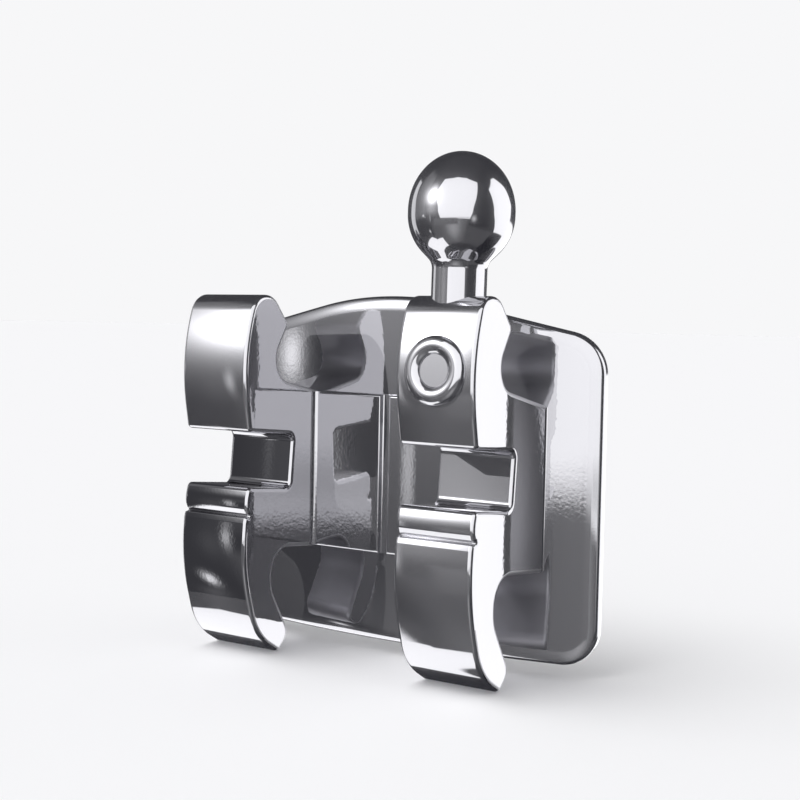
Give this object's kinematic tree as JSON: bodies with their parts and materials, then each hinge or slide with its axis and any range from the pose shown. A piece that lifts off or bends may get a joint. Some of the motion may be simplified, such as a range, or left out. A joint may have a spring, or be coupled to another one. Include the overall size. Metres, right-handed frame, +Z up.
{
  "type": "orthodontic bracket",
  "caption": "Twin orthodontic bracket with an archwire slot through both tie-wing pairs, a curved bonding pad and a ball hook, in one piece of polished steel.",
  "frame": {"origin": "on the bonding face, in the middle of the pad from side to side, level with the middle of the slot where its plane meets the bonding face", "axes": "+Z up towards the hook, -Y out of the mouth of the slot towards the viewer, +X towards the side that carries the hook"},
  "size_m": [0.0046, 0.0018, 0.005],
  "materials": {
    "polished_steel": "polished, with a faint orange-peel on the pad and the side walls"
  },
  "bodies": {
    "root": {"bracket_body": "polished_steel"}
  },
  "joints": []
}
